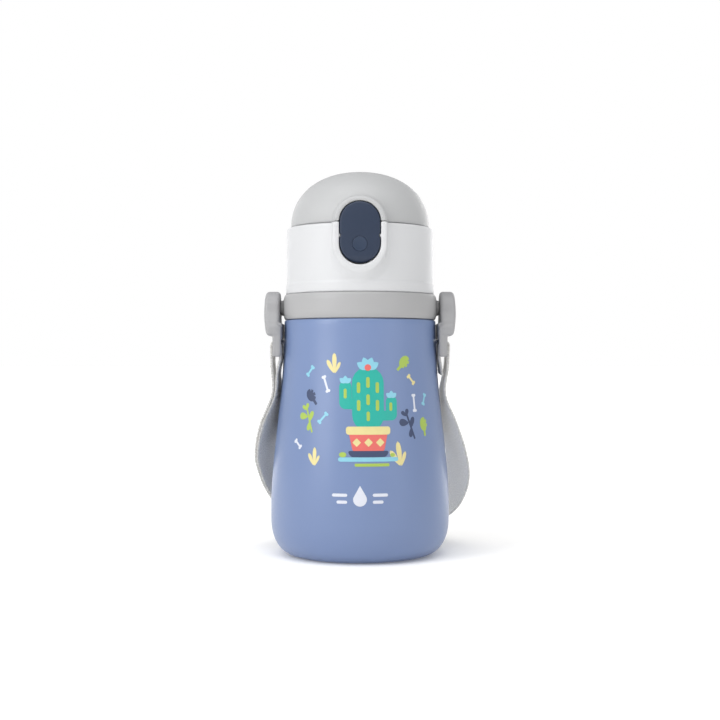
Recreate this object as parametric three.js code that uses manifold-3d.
// A child's insulated drinking bottle with a flip-up dome lid, a rocker latch and a carrying strap.
// Millimetres, +Z up. The origin is the middle of the base, on the table. The latch faces -Y and the
// lid hinge is at +Y. The strap hangs in a loop behind the flask from two clips at -X and +X.
import * as THREE from "three";
import { mergeVertices } from "three/addons/utils/BufferGeometryUtils.js";
import Module from "manifold-3d";

const wasm = await Module();
wasm.setup();

// ---- Driving dimensions ----
const GAP = 0.3; // clearance between pieces that rest on each other
const SEGMENTS = 32; // facets round a large turned piece
const SMALL_SEGMENTS = 16; // facets round a small turned piece

const bodyRadius = 40; // flask at its widest
const shoulderRadius = 34; // flask at its top edge
const shoulderZ = 104.8;
const footRadius = 28; // outer edge of the flat foot ring
const footHoleRadius = 24.5; // hole in the foot, closed by the base plate
const cornerHeight = 17; // height of the rounded bottom corner
const cornerPower = 2.3; // fullness of that corner, 2 being an ellipse
const bellyTopZ = 22; // where the flask starts to narrow
const shellWall = 0.7;
const linerWall = 0.6;
const vacuumGap = 2.6;
const neckRadius = 29;
const neckTopZ = 124.1;
const linerNeckRadius = 28;
const linerFloorZ = 5.2; // underside of the liner's floor
const linerShoulderZ = 101.6;
const basePlateZ = 0.6; // underside of the base plate, recessed in the foot

const maleThreadCrest = 29.6;
const femaleThreadCrest = 29.9;
const threadPitch = 3.6;

const collarBottomZ = 105.1;
const collarTopZ = 116;
const collarRadius = 34.5; // the collar is slightly barrelled
const studZ = 110.4;
const studBossRadius = 3.4;
const studPinRadius = 2.1;
const studHeadRadius = 3;

const lidRadius = 32.9; // white lid base
const lidBandRadius = 33.3; // its slightly wider lower band
const lidBottomZ = 116.3;
const lidTopZ = 145.8;
const skirtBore = 30.4;
const deckUnderZ = 126.8;
const deckTopZ = 129;
const wellRadius = 27; // open well above the deck
const lipRadius = 28.4; // upstanding lip inside the dome
const lipTopZ = 148.3;

const domeRadius = 31.1; // grey flip lid
const domeHeight = 25.2;
const domePower = 2.2;
const domeWall = 2.2;
const domeBottomZ = lidTopZ + GAP;

const latchHalfWidth = 8.55; // the navy rocker latch
const latchBottomZ = 128.9;
const latchTopZ = 154.5;
const latchPivotY = -31.4;
const latchPivotZ = 139.9;
const latchFaceY = -35;
const latchBackY = -32;
const pressDiscRadius = 3.3;
const pressDiscZ = 136.3;
const noseHalfWidth = 11.8; // raised nose of the lid round the latch
const noseFaceY = -34.8;
const pocketHalfWidth = latchHalfWidth + 0.4;
const pocketBottomZ = 127.5;
const pocketFloorY = -28.6;

const hingeY = 34.6;
const hingeZ = 147;
const knuckleRadius = 3;
const hingePinRadius = 1;
const lidKnuckle = [3.3, 6.4]; // the dome's two knuckles, either side of the spring
const baseKnuckle = [6.8, 11]; // the lid base's two knuckles, outside those

const spoutY = -8; // drinking spout and straw, in front of the middle
const spoutTopZ = 161.2;
const strawRadius = 3;
const strawBore = 2.4;
const ventY = 11;

const clipInnerX = 35.9; // face of a strap clip next to the flask
const clipPlateX = 36.2; // inner face of its lower plate
const clipPlate = 2.4; // thickness of its lower plate
const clipHousing = 6.5; // thickness of its upper housing
const clipHalfWidth = 12.4;
const clipTopRadius = 7.4;
const clipHousingZ = 97.7;
const clipBottomZ = 88.5;

const webbingHalfWidth = 10;
const webbingThickness = 1;
const foldRadius = clipPlate / 2 + GAP + webbingThickness / 2; // webbing wrapped round a clip's bar
const foldZ = 93.2; // middle of the bar's round top
const layerPitch = 1.4; // between the middles of two layers that lie together

const sliderX = -6; // middle of the slider, on the straight stretch behind the flask
const sliderHalfLength = 11;
const sliderHalfWidth = 13.5;
const sliderHalfThickness = 1;
const sliderMiddleBar = 2; // half the middle bar's width
const sliderSlotEnd = 8; // outer end of each slot

// ---- Materials ----
const plastic = (color, roughness) => new THREE.MeshStandardMaterial({ color, roughness, metalness: 0 });
const blueCoat = plastic(0x8a9dcb, 0.42);
const greyPlastic = plastic(0xbdbebf, 0.45);
const whitePlastic = plastic(0xeeeff1, 0.4);
const navyPlastic = plastic(0x38445c, 0.5);
const greyWebbing = plastic(0xb4b5b6, 0.9);
const clearSilicone = plastic(0xe4e6e8, 0.55);
const strawPlastic = plastic(0xdfe7ee, 0.3);
const steel = new THREE.MeshStandardMaterial({ color: 0xc6c8ca, roughness: 0.35, metalness: 1 });

// ---- Solids: making, joining and placing ----
// A three.js geometry as a manifold-3d solid, with its faces turned outwards.
function solid(geometry) {
  const loose = geometry.index ? geometry.toNonIndexed() : geometry;
  const bare = new THREE.BufferGeometry().setAttribute("position", loose.getAttribute("position").clone());
  const merged = mergeVertices(bare, 1e-4);
  const faces = [];
  for (let i = 0; i < merged.index.count; i += 3) {
    const [a, b, c] = [0, 1, 2].map((k) => merged.index.getX(i + k));
    if (a !== b && b !== c && c !== a) faces.push([a, b, c]);
  }
  const vertProperties = new Float32Array(merged.attributes.position.array);
  const build = (triangles) =>
    new wasm.Manifold(
      new wasm.Mesh({ numProp: 3, vertProperties, triVerts: new Uint32Array(triangles.flat()) }),
    );
  const made = build(faces);
  return made.volume() >= 0 ? made : build(faces.map(([a, b, c]) => [a, c, b]));
}

const joined = (first, ...rest) => rest.reduce((whole, piece) => whole.add(piece), first);
const cut = (first, ...rest) => rest.reduce((whole, piece) => whole.subtract(piece), first);

const group = new THREE.Group();

// Adds a solid to the model as one named mesh.
function addPiece(name, piece, material) {
  const mesh = piece.getMesh();
  const geometry = new THREE.BufferGeometry();
  geometry.setAttribute("position", new THREE.BufferAttribute(new Float32Array(mesh.vertProperties), 3));
  geometry.setIndex(new THREE.BufferAttribute(new Uint32Array(mesh.triVerts), 1));
  geometry.computeVertexNormals();
  const node = new THREE.Mesh(geometry, material);
  node.name = name;
  group.add(node);
}

// ---- Shapes ----
// A solid turned about a vertical axis at y, from a closed profile of [radius, z] points.
function turned(profile, y = 0, segments = SEGMENTS) {
  const closed = [...profile, profile[0]].map(([r, z]) => new THREE.Vector2(r, z));
  return solid(new THREE.LatheGeometry(closed, segments).rotateX(Math.PI / 2).translate(0, y, 0));
}

// A ring with a square section.
const ring = (inner, outer, z0, z1, y = 0, segments = SEGMENTS) =>
  turned([[inner, z0], [outer, z0], [outer, z1], [inner, z1]], y, segments);

// A round bar along X, along Z and along Y.
function rodX(radius, x0, x1, y, z) {
  const rod = new THREE.CylinderGeometry(radius, radius, x1 - x0, SMALL_SEGMENTS);
  return solid(rod.rotateZ(Math.PI / 2).translate((x0 + x1) / 2, y, z));
}
function rodZ(radius, y, z0, z1) {
  const rod = new THREE.CylinderGeometry(radius, radius, z1 - z0, SMALL_SEGMENTS);
  return solid(rod.rotateX(Math.PI / 2).translate(0, y, (z0 + z1) / 2));
}

function rodY(radius, x, y0, y1, z) {
  const rod = new THREE.CylinderGeometry(radius, radius, y1 - y0, SMALL_SEGMENTS);
  return solid(rod.translate(x, (y0 + y1) / 2, z));
}

function block([x0, x1], [y0, y1], [z0, z1]) {
  const box = new THREE.BoxGeometry(x1 - x0, y1 - y0, z1 - z0);
  return solid(box.translate((x0 + x1) / 2, (y0 + y1) / 2, (z0 + z1) / 2));
}

// An outline extruded with a bevel on its edges, from 0 to depth along its own normal.
function extruded(outline, depth, bevel) {
  return new THREE.ExtrudeGeometry(outline, {
    depth: depth - 2 * bevel,
    bevelEnabled: bevel > 0,
    bevelThickness: bevel,
    bevelSize: bevel,
    bevelOffset: -bevel,
    bevelSegments: 2,
    curveSegments: 7,
  }).translate(0, 0, bevel);
}

// An outline drawn in X and Z, extruded along Y from y0 to y1.
const extrudedY = (outline, y0, y1, bevel = 0) =>
  solid(extruded(outline, y1 - y0, bevel).rotateX(Math.PI / 2).translate(0, y1, 0));

// An outline drawn in Y and Z, extruded along X from x0 to x1.
const yzOntoX = new THREE.Matrix4().makeBasis(
  new THREE.Vector3(0, 1, 0),
  new THREE.Vector3(0, 0, 1),
  new THREE.Vector3(1, 0, 0),
);
const extrudedX = (outline, x0, x1, bevel = 0) =>
  solid(extruded(outline, x1 - x0, bevel).applyMatrix4(yzOntoX).translate(x0, 0, 0));

const polygon = (points) => new THREE.Shape(points.map(([a, b]) => new THREE.Vector2(a, b)));

// An upright outline with a round bottom, a round top, or both.
function upright(halfWidth, z0, z1, { roundBottom = true, roundTop = true } = {}) {
  const outline = new THREE.Shape();
  if (roundBottom) outline.absarc(0, z0 + halfWidth, halfWidth, Math.PI, 2 * Math.PI, false);
  else outline.moveTo(-halfWidth, z0).lineTo(halfWidth, z0);
  if (roundTop) outline.absarc(0, z1 - halfWidth, halfWidth, 0, Math.PI, false);
  else outline.lineTo(halfWidth, z1).lineTo(-halfWidth, z1);
  outline.closePath();
  return outline;
}

// A quarter of a superellipse from (0, high) to (wide, 0), as [across, up] points.
const quarter = (wide, high, power, count) =>
  Array.from({ length: count + 1 }, (_, i) => {
    const angle = (i / count) * (Math.PI / 2);
    const across = i === 0 ? 0 : Math.sin(angle) ** (2 / power);
    const up = i === count ? 0 : Math.cos(angle) ** (2 / power);
    return [wide * across, high * up];
  });

// A solid skinned through rings of points that all hold the same number of corners.
function lofted(rings) {
  const corners = rings[0].length;
  const index = [];
  for (let i = 0; i + 1 < rings.length; i++) {
    for (let k = 0; k < corners; k++) {
      const next = (k + 1) % corners;
      const [a, b] = [i * corners + k, i * corners + next];
      index.push(a, b, b + corners, a, b + corners, a + corners);
    }
  }
  const last = (rings.length - 1) * corners;
  for (let k = 1; k + 1 < corners; k++) {
    index.push(0, k + 1, k);
    index.push(last, last + k, last + k + 1);
  }
  return solid(new THREE.BufferGeometry().setFromPoints(rings.flat()).setIndex(index));
}

// A screw thread's ridge, with its root sunk into the wall it stands on.
function threadRidge(rootRadius, crestRadius, z0, turns) {
  const steps = Math.round(turns * 24);
  const section = [[rootRadius, -0.95], [crestRadius, -0.35], [crestRadius, 0.35], [rootRadius, 0.95]];
  const rings = Array.from({ length: steps + 1 }, (_, i) => {
    const angle = (i / 24) * 2 * Math.PI;
    const z = z0 + (i / 24) * threadPitch;
    return section.map(([r, dz]) => new THREE.Vector3(r * Math.cos(angle), r * Math.sin(angle), z + dz));
  });
  return lofted(rings);
}

// A round wire that follows place(t) for t from 0 to 1.
function wire(place, radius, steps) {
  const route = new THREE.Curve();
  route.getPoint = (t) => place(t);
  const section = new THREE.Shape().absarc(0, 0, radius, 0, 2 * Math.PI);
  const options = { steps, curveSegments: 3, bevelEnabled: false, extrudePath: route };
  return solid(new THREE.ExtrudeGeometry(section, options));
}

// ---- The flask: outer shell, liner, base plate and getter ----
const flaskSide = new THREE.CubicBezierCurve(
  new THREE.Vector2(bodyRadius, bellyTopZ),
  new THREE.Vector2(bodyRadius, 44),
  new THREE.Vector2(shoulderRadius, 72),
  new THREE.Vector2(shoulderRadius, shoulderZ - 0.8),
);

// The side of the flask as seen at some depth inside its surface, from a floor up to a top.
function flaskWall(inset, floorZ, topZ) {
  const wide = bodyRadius - footRadius - inset;
  const corner = quarter(wide, cornerHeight - floorZ, cornerPower, 5);
  const side = flaskSide.getPoints(5).map(({ x, y }) => [x - inset, y]);
  return [
    ...corner.map(([across, down]) => [footRadius + across, cornerHeight - down]),
    ...side.filter(([, z]) => z < topZ - 2),
    [shoulderRadius - inset, topZ],
  ];
}

const shellNeckBore = neckRadius - shellWall;
const shell = turned([
  [footHoleRadius, 0],
  ...flaskWall(0, 0, shoulderZ - 0.8),
  [shoulderRadius - 0.8, shoulderZ],
  [neckRadius, shoulderZ],
  [neckRadius, neckTopZ],
  [shellNeckBore, neckTopZ],
  [shellNeckBore, shoulderZ - shellWall],
  ...flaskWall(shellWall, shellWall, shoulderZ - shellWall).reverse(),
  [footHoleRadius, shellWall],
]);
addPiece("outer_shell", joined(shell, threadRidge(neckRadius - 0.2, maleThreadCrest, 118.4, 1.25)), blueCoat);

const linerInset = shellWall + vacuumGap;
const linerInnerNeck = linerNeckRadius - linerWall;
const liner = turned([
  [0, linerFloorZ],
  ...flaskWall(linerInset, linerFloorZ, linerShoulderZ - 1),
  [shoulderRadius - linerInset - 1, linerShoulderZ],
  [linerNeckRadius, linerShoulderZ + 0.9],
  [linerNeckRadius, neckTopZ + GAP],
  [neckRadius, neckTopZ + GAP],
  [neckRadius, neckTopZ + GAP + linerWall],
  [linerInnerNeck, neckTopZ + GAP + linerWall],
  [linerInnerNeck, linerShoulderZ + 0.3],
  [shoulderRadius - linerInset - 1.6, linerShoulderZ - 0.6],
  ...flaskWall(linerInset + linerWall, linerFloorZ + linerWall, linerShoulderZ - 1.6).reverse(),
  [0, linerFloorZ + linerWall],
]);
addPiece("inner_liner", liner, steel);

const basePlateTop = basePlateZ + 0.8;
addPiece("base_plate", ring(0, footHoleRadius - GAP, basePlateZ, basePlateTop), steel);
addPiece("getter_capsule", ring(0, 6, basePlateTop + GAP, basePlateTop + GAP + 2.2), steel);

// ---- The collar that turns on the neck, with a stud for a clip at each side ----
const collar = turned([
  [maleThreadCrest + GAP, collarBottomZ],
  [collarRadius - 1.2, collarBottomZ],
  [collarRadius - 0.3, collarBottomZ + 1.9],
  [collarRadius, studZ],
  [collarRadius - 0.1, collarTopZ - 3],
  [collarRadius - 0.7, collarTopZ - 1.2],
  [collarRadius - 1.5, collarTopZ - 0.3],
  [collarRadius - 2.6, collarTopZ],
  [maleThreadCrest + GAP, collarTopZ],
]);
const stud = joined(
  rodX(studBossRadius, shoulderRadius - 2.4, clipInnerX - GAP, 0, studZ),
  rodX(studPinRadius, clipInnerX - 0.6, clipInnerX + 3.9, 0, studZ),
  rodX(studHeadRadius, clipInnerX + 2.4, clipInnerX + 3.9, 0, studZ),
);
addPiece("strap_ring", joined(collar, stud, stud.mirror([1, 0, 0])), greyPlastic);

// ---- The two strap clips ----
// Housing seen from the side: wide at the webbing, narrowing to a round top about the stud.
const housingOutline = new THREE.Shape()
  .moveTo(-clipHalfWidth, clipHousingZ)
  .lineTo(clipHalfWidth, clipHousingZ)
  .lineTo(clipHalfWidth, clipHousingZ + 3.5)
  .quadraticCurveTo(clipTopRadius + 3.8, clipHousingZ + 7, clipTopRadius, studZ)
  .absarc(0, studZ, clipTopRadius, 0, Math.PI, false)
  .quadraticCurveTo(-clipTopRadius - 3.8, clipHousingZ + 7, -clipHalfWidth, clipHousingZ + 3.5);
housingOutline.closePath();
const slotHalfWidth = webbingHalfWidth + 0.5;
const slotY = [-slotHalfWidth, slotHalfWidth];
const plateX = [clipPlateX, clipPlateX + clipPlate];
const barX = clipPlateX + clipPlate / 2;
const clip = joined(
  cut(
    joined(
      extrudedX(housingOutline, clipInnerX, clipInnerX + clipHousing, 1.4),
      block(plateX, [-clipHalfWidth, clipHalfWidth], [clipBottomZ, clipHousingZ + 2]),
    ),
    block([clipInnerX - 1, clipPlateX + clipPlate + 1], slotY, [foldZ, clipHousingZ - 0.4]),
    rodX(studPinRadius + GAP, clipInnerX - 1, clipInnerX + 3, 0, studZ),
    rodX(studHeadRadius + GAP, clipInnerX + 2.1, clipInnerX + 4.5, 0, studZ),
  ),
  cut(
    rodY(clipPlate / 2 - 0.05, barX, -slotHalfWidth - 0.3, slotHalfWidth + 0.3, foldZ),
    block([barX - 3, barX + 3], [-20, 20], [foldZ - 3, foldZ - 0.2]),
  ),
);
addPiece("right_clip", clip, greyPlastic);
addPiece("left_clip", clip.mirror([1, 0, 0]), greyPlastic);

// ---- The strap: one length of webbing, folded round both clips, and its slider ----
// Middle of the webbing and its front edge, from the left clip round behind the flask to the right.
const strapRoute = [
  [[-39.4, 0, foldZ], [-39.4, -10, foldZ]],
  [[-39.2, 0, 84], [-39.3, -10, 84]],
  [[-38.2, 0.8, 73], [-39, -9, 72.2]],
  [[-41.2, 3.6, 60.3], [-45, -5, 57]],
  [[-42.8, 8.9, 50.9], [-47.6, 2, 45.5]],
  [[-43.2, 17.8, 44.3], [-47.4, 12.5, 37]],
  [[-42, 31.2, 34.5], [-45, 26, 26.5]],
  [[-38, 43, 25.5], [-39.5, 40, 16]],
  [[-32, 51, 19], [-32.6, 50, 9.2]],
  [[-24, 57, 15], [-24, 57, 5]],
  [[-17, 57, 15], [-17, 57, 5]],
  [[-6, 57, 15], [-6, 57, 5]],
  [[5, 57, 15], [5, 57, 5]],
  [[14, 57, 15], [14, 57, 5]],
  [[26, 54, 15.3], [26.4, 53.4, 5.4]],
  [[36, 46, 18], [37.2, 43.5, 8.4]],
  [[42.2, 35.7, 23.6], [45.2, 31.5, 15]],
  [[45, 24.8, 31.8], [49.4, 19.5, 24.5]],
  [[45.2, 15.2, 40.5], [50.2, 8.5, 35]],
  [[42.6, 8, 50], [47.6, 0, 46.8]],
  [[39.5, 3.5, 61.2], [43, -5.6, 59.4]],
  [[37.4, 0.8, 73], [37.9, -9.1, 72.2]],
  [[38.9, 0, 84], [39, -10, 84]],
  [[39.4, 0, foldZ], [39.4, -10, foldZ]],
];
function routeCurve(column) {
  const points = strapRoute.map((pair) => new THREE.Vector3(...pair[column]));
  return new THREE.CatmullRomCurve3(points, false, "centripetal");
}
const middleRoute = routeCurve(0);
const edgeRoute = routeCurve(1);
middleRoute.arcLengthDivisions = 800;
const strapLength = middleRoute.getLength();

// The strap's own directions at a distance along it: along, towards its front edge, and outwards.
function strapFrame(distance) {
  const inside = Math.min(Math.max(distance, 0), strapLength);
  const t = middleRoute.getUtoTmapping(inside / strapLength);
  const along = middleRoute.getTangent(t);
  const point = middleRoute.getPoint(t).addScaledVector(along, distance - inside);
  const across = edgeRoute.getPoint(t).sub(middleRoute.getPoint(t));
  across.addScaledVector(along, -across.dot(along)).normalize();
  return { point, along, across, outward: new THREE.Vector3().crossVectors(along, across) };
}

// Webbing through [distance along the strap, distance outwards] stations.
function ribbon(stations) {
  const at = (i) => new THREE.Vector2(...stations[Math.min(Math.max(i, 0), stations.length - 1)]);
  const rings = stations.map(([distance, offset], i) => {
    const heading = at(i + 1).sub(at(i - 1)).normalize();
    const { point, along, across, outward } = strapFrame(distance);
    const middle = point.clone().addScaledVector(outward, offset);
    const thick = outward.clone().multiplyScalar(heading.x).addScaledVector(along, -heading.y);
    return [[-1, -1], [1, -1], [1, 1], [-1, 1]].map(([w, h]) =>
      middle
        .clone()
        .addScaledVector(across, w * webbingHalfWidth)
        .addScaledVector(thick, (h * webbingThickness) / 2),
    );
  });
  return lofted(rings);
}

// Stations from one distance to another, with an offset that runs evenly between two values.
function run(d0, d1, n0, n1, count) {
  const between = (from, to, i) => from + ((to - from) * i) / count;
  return Array.from({ length: count + 1 }, (_, i) => [between(d0, d1, i), between(n0, n1, i)]);
}

// The half turn over a clip's bar, from the outer layer to the inner one; side is -1 left, 1 right.
const overBar = (distance, side) =>
  Array.from({ length: 7 }, (_, i) => {
    const angle = (i / 6) * Math.PI;
    return [distance + side * foldRadius * Math.sin(angle), foldRadius * (Math.cos(angle) - 1)];
  });

// Distance along the strap where it is behind the flask at a given X.
function distanceAtX(x) {
  let [low, high] = [0, strapLength];
  while (high - low > 0.01) {
    const middle = (low + high) / 2;
    if (strapFrame(middle).point.x < x) low = middle;
    else high = middle;
  }
  return low;
}
const sliderAt = distanceAtX(sliderX);
const fromSlider = (stations) => stations.map(([d, n]) => [sliderAt + d, n]);

// Under the near end bar, over the middle bar, and under the far end bar.
const halfThrough = [
  [-15.5, 0], [-12, -2.1], [-8, -2.1], [-6.7, -1.4], [-5.9, 0], [-5.2, 1.6], [-4.2, 2.9], [-2.8, 3.45],
];
const throughSlider = fromSlider([...halfThrough, ...halfThrough.map(([d, n]) => [-d, n]).reverse()]);
// The inner layer turns back round the middle bar, where its end is sewn down.
const roundMiddleBar = fromSlider([
  [-16, -layerPitch - 0.1], [-12.6, -3.6], [-7.6, -3.7], [-5.4, -3], [-4.3, -1.2], [-3.9, 0.2], [-3.3, 1.4],
  [-2.2, 2.1], [2, 2.1], [3.1, 1.5], [3.3, 0], [3.1, -1.5], [2, -2.1], [-0.6, -2.1],
]);
// Below a clip the inner layer runs down the bar, then closes up to the outer layer.
const innerLayer = [[3, -2 * foldRadius], [5.6, 0.1 - 2 * foldRadius], [9, -3], [13, -2]];
const webbing = ribbon([
  ...innerLayer.map(([d, n]) => [strapLength - d, n]).reverse(),
  ...overBar(strapLength, 1).reverse(),
  ...run(strapLength - 3, sliderAt + 19, 0, 0, 24),
  ...throughSlider.slice().reverse(),
  ...run(sliderAt - 19, 3, 0, 0, 20),
  ...overBar(0, -1),
  ...innerLayer,
  ...run(20, sliderAt - 20, -layerPitch, -layerPitch, 17),
  ...roundMiddleBar,
]);
addPiece("strap_webbing", webbing, greyWebbing);

const sliderBlank = extruded(
  polygon([
    [-sliderHalfLength, -sliderHalfWidth], [sliderHalfLength, -sliderHalfWidth],
    [sliderHalfLength, sliderHalfWidth], [-sliderHalfLength, sliderHalfWidth],
  ]),
  2 * sliderHalfThickness,
  0.5,
).translate(0, 0, -sliderHalfThickness);
const sliderFrame = strapFrame(sliderAt);
const slotBlock = (d0, d1) => block([d0, d1], [-slotHalfWidth - 0.2, slotHalfWidth + 0.2], [-3, 3]);
const slider = cut(
  solid(sliderBlank),
  slotBlock(-sliderSlotEnd, -sliderMiddleBar),
  slotBlock(sliderMiddleBar, sliderSlotEnd),
).transform(
  new THREE.Matrix4()
    .makeBasis(sliderFrame.along, sliderFrame.across, sliderFrame.outward)
    .setPosition(sliderFrame.point)
    .toArray(),
);
addPiece("strap_slider", slider, greyPlastic);

// ---- The lid base, which screws onto the neck ----
const lidBody = turned([
  [skirtBore, lidBottomZ],
  [lidBandRadius, lidBottomZ],
  [lidBandRadius, lidBottomZ + 4.4],
  [lidRadius, lidBottomZ + 5.2],
  [lidRadius, lidTopZ - 1.2],
  [lidRadius - 1.2, lidTopZ],
  [lipRadius, lidTopZ],
  [lipRadius, lipTopZ],
  [wellRadius, lipTopZ],
  [wellRadius, deckTopZ],
  [0, deckTopZ],
  [0, deckUnderZ],
  [skirtBore, deckUnderZ],
]);
const nose = extrudedY(upright(noseHalfWidth, 124.6, lidTopZ + 8, { roundTop: false }), noseFaceY, -26, 1.1);
const noseFootOutline = upright(noseHalfWidth + 1.6, 118.6, lidTopZ + 8, { roundTop: false });
const noseFoot = extrudedY(noseFootOutline, -33.9, -28, 1);
const outsideBore = joined(
  ring(wellRadius + 0.5, 50, deckUnderZ, lidTopZ),
  ring(skirtBore, 50, 110, deckUnderZ),
);
const noses = joined(nose, noseFoot).intersect(outsideBore);
const pocket = upright(pocketHalfWidth, pocketBottomZ, lidTopZ + 5, { roundTop: false });
const gusset = polygon([
  [30, 137], [32.4, 135.5], [hingeY + 2.6, hingeZ - 1.4], [hingeY - 2.2, hingeZ - 1.4],
]);
const eachSide = (makePiece) => [-1, 1].map(makePiece);
const baseLugs = eachSide((side) => {
  const [x0, x1] = side > 0 ? baseKnuckle : [-baseKnuckle[1], -baseKnuckle[0]];
  return joined(rodX(knuckleRadius, x0, x1, hingeY, hingeZ), extrudedX(gusset, x0, x1));
});
const lidBase = cut(
  joined(lidBody, noses, ring(5, 7.6, deckUnderZ, deckTopZ + 1.6, spoutY, SMALL_SEGMENTS), ...baseLugs),
  extrudedY(pocket, -45, pocketFloorY),
  rodX(knuckleRadius + 0.4, -baseKnuckle[0], baseKnuckle[0], hingeY, hingeZ),
  rodX(hingePinRadius + GAP, -20, 20, hingeY, hingeZ),
  rodX(0.8 + GAP, -11.2, 11.2, latchPivotY, latchPivotZ),
  rodZ(5, spoutY, deckUnderZ - 1, deckTopZ + 4),
  rodZ(2, ventY, deckUnderZ - 1, deckTopZ + 1),
);
const femaleThread = threadRidge(skirtBore + 0.2, femaleThreadCrest, 119.9, 1.25).rotate([0, 0, 150]);
addPiece("lid_base", joined(lidBase, femaleThread), whitePlastic);

addPiece("mouth_gasket", ring(26.6, 29.4, neckTopZ + 1.2, deckUnderZ - GAP), clearSilicone);

const spout = turned(
  [
    [strawRadius + GAP, 118], [4.7, 118], [4.7, deckTopZ + 1.9], [7.2, deckTopZ + 1.9],
    [7.2, deckTopZ + 3.4], [5.2, deckTopZ + 5], [4.9, 148], [5.8, 152], [5.8, 155], [4.3, 158],
    [4.2, spoutTopZ - 0.5], [3.7, spoutTopZ], [2.2, spoutTopZ], [2.2, 126.4], [strawRadius + GAP, 126.4],
  ],
  spoutY,
  SMALL_SEGMENTS,
);
addPiece("spout", spout, clearSilicone);
addPiece("straw", ring(strawBore, strawRadius, 8.2, 126, spoutY, SMALL_SEGMENTS), strawPlastic);

const ventValve = turned(
  [
    [0, 124.6], [1.5, 124.8], [2.6, deckUnderZ - GAP], [1.7, deckUnderZ - GAP], [1.7, deckTopZ + GAP],
    [4, deckTopZ + GAP], [3.4, deckTopZ + 1.3], [0, deckTopZ + 1.8],
  ],
  ventY,
  SMALL_SEGMENTS,
);
addPiece("vent_valve", ventValve, clearSilicone);

// ---- The flip lid: dome, inner cap and spout seal ----
const domeProfile = (inset) =>
  quarter(domeRadius - inset, domeHeight - inset, domePower, 7).map(([r, up]) => [r, domeBottomZ + up]);
const domeShell = turned([...domeProfile(0), ...domeProfile(domeWall).reverse()]);
const domeCore = turned([...domeProfile(domeWall - 0.2), [0, domeBottomZ]]);
const archSide = polygon([
  [-34.6, domeBottomZ], [-34.4, 150], [-32.8, 158], [-20, 158], [-20, domeBottomZ],
]);
const archRise = latchTopZ + 0.4 + 2.4;
const arch = extrudedY(upright(noseHalfWidth - 0.4, 140, archRise, { roundBottom: false }), -36, -20);
const archNose = cut(arch.intersect(extrudedX(archSide, -20, 20)), domeCore);
const latchRecess = upright(pocketHalfWidth, 140, latchTopZ + 0.4, { roundBottom: false });
const catchGroove = block([-3.4, 3.4], [-34, -30.2], [domeBottomZ - 1, 152.6]);
const knuckleWeb = polygon([
  [hingeY - 6, domeBottomZ], [hingeY, domeBottomZ], [hingeY, hingeZ + 2.9], [hingeY - 5, hingeZ + 4.6],
]);
const domeKnuckles = eachSide((side) => {
  const [x0, x1] = side > 0 ? lidKnuckle : [-lidKnuckle[1], -lidKnuckle[0]];
  return joined(rodX(knuckleRadius, x0, x1, hingeY, hingeZ), extrudedX(knuckleWeb, x0, x1));
});
const capPost = rodZ(4, spoutY, 165.7, 169.5);
const flipLid = cut(
  joined(domeShell, archNose, capPost, ...domeKnuckles.map((knuckle) => cut(knuckle, domeCore))),
  extrudedY(latchRecess, -45, -31.2),
  catchGroove,
  rodX(hingePinRadius + GAP, -20, 20, hingeY, hingeZ),
);
addPiece("flip_lid", flipLid, greyPlastic);

const capRing = [[6.6, 158.4], [8.4, 158.4], [8.4, 165.4], [0, 165.4], [0, 163.9], [6.6, 163.9]];
addPiece("lid_inner_cap", turned(capRing, spoutY, SMALL_SEGMENTS), greyPlastic);
addPiece("spout_seal", ring(0, 6.3, spoutTopZ + GAP, 163.6, spoutY, SMALL_SEGMENTS), clearSilicone);

// ---- The hinge pin and its spring ----
addPiece("hinge_pin", rodX(hingePinRadius, -10.8, 10.8, hingeY, hingeZ), steel);
const springTurns = 4;
const hingeSpring = wire(
  (t) => {
    const angle = 2 * Math.PI * springTurns * t;
    const [y, z] = [hingeY + 1.65 * Math.cos(angle), hingeZ + 1.65 * Math.sin(angle)];
    return new THREE.Vector3(-2.3 + 4.6 * t, y, z);
  },
  0.28,
  36,
);
addPiece("hinge_spring", hingeSpring, steel);

// ---- The latch: a rocker that holds the dome shut, its pin and its spring ----
const latchPlate = extrudedY(upright(latchHalfWidth, latchBottomZ, latchTopZ), latchFaceY, latchBackY, 0.7);
const pressDisc = rodY(pressDiscRadius, 0, latchFaceY - 0.3, latchFaceY + 0.7, pressDiscZ);
const latch = cut(
  joined(
    latchPlate,
    pressDisc,
    rodX(2.1, -8.4, 8.4, latchPivotY, latchPivotZ),
    block([-2.8, 2.8], [latchBackY - 1, latchBackY + 1.4], [150.6, 152.2]),
  ),
  rodX(0.8 + GAP, -9, 9, latchPivotY, latchPivotZ),
);
addPiece("latch_button", latch, navyPlastic);
addPiece("latch_pin", rodX(0.8, -10.9, 10.9, latchPivotY, latchPivotZ), steel);
const latchSpring = wire(
  (t) => {
    const angle = 2 * Math.PI * 2.5 * t;
    const reach = latchBackY + 0.55 + (pocketFloorY - latchBackY - 1.1) * t;
    return new THREE.Vector3(1.9 * Math.cos(angle), reach, 133.2 + 1.9 * Math.sin(angle));
  },
  0.22,
  22,
);
addPiece("latch_spring", latchSpring, steel);

export default group;
